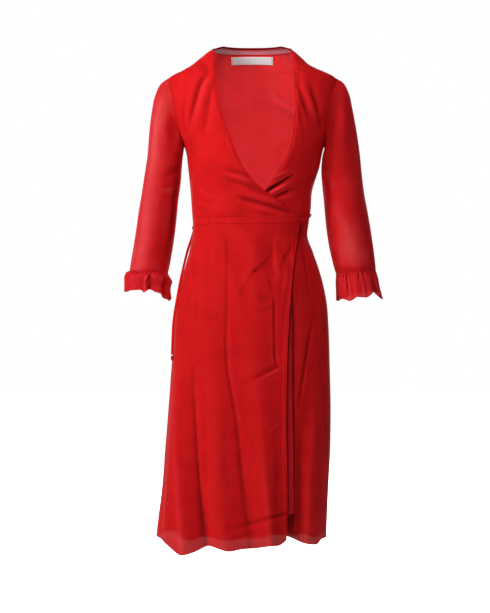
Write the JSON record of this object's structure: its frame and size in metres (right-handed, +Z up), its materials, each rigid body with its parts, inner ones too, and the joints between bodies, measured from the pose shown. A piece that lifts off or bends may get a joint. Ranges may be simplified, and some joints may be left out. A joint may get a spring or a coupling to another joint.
{
  "type": "wrap dress",
  "caption": "Long-sleeved midi wrap dress in red georgette over a lining, with a deep crossed neckline, sheer sleeves with gathered cuffs and a tie waist, filled out with no wearer.",
  "frame": {"origin": "between the shoulders, level with the shoulder line, where the wearer holds the dress up", "axes": "+X towards the wearer's left, +Y towards the wearer's back, +Z up"},
  "size_m": [0.5724, 0.2846, 1.1071],
  "materials": {
    "georgette": "matt crepe-twist georgette, solid red",
    "sheer_georgette": "one layer of the same georgette with nothing behind it, slightly see-through",
    "lining": "plain-woven matt lining, red",
    "label_satin": "woven satin ribbon, bare"
  },
  "bodies": {
    "root": {"back_neck_band": "sheer_georgette", "back_neck_binding": "georgette", "bodice_back": "georgette", "bodice_front_left": "georgette", "bodice_front_right": "georgette", "cuff_ruffle_left": "sheer_georgette", "cuff_ruffle_right": "sheer_georgette", "neck_label": "label_satin", "skirt_back": "sheer_georgette", "skirt_front_left": "sheer_georgette", "skirt_front_right": "sheer_georgette", "skirt_lining_back": "lining", "skirt_lining_front_left": "lining", "skirt_lining_front_right": "lining", "sleeve_left": "sheer_georgette", "sleeve_right": "sheer_georgette", "tie_end_knot": "georgette", "tie_end_long": "georgette", "tie_end_short": "georgette", "tie_knot": "georgette", "waist_tie": "georgette", "waistband_back": "georgette", "waistband_front_left": "georgette", "waistband_front_right": "georgette"}
  },
  "joints": []
}
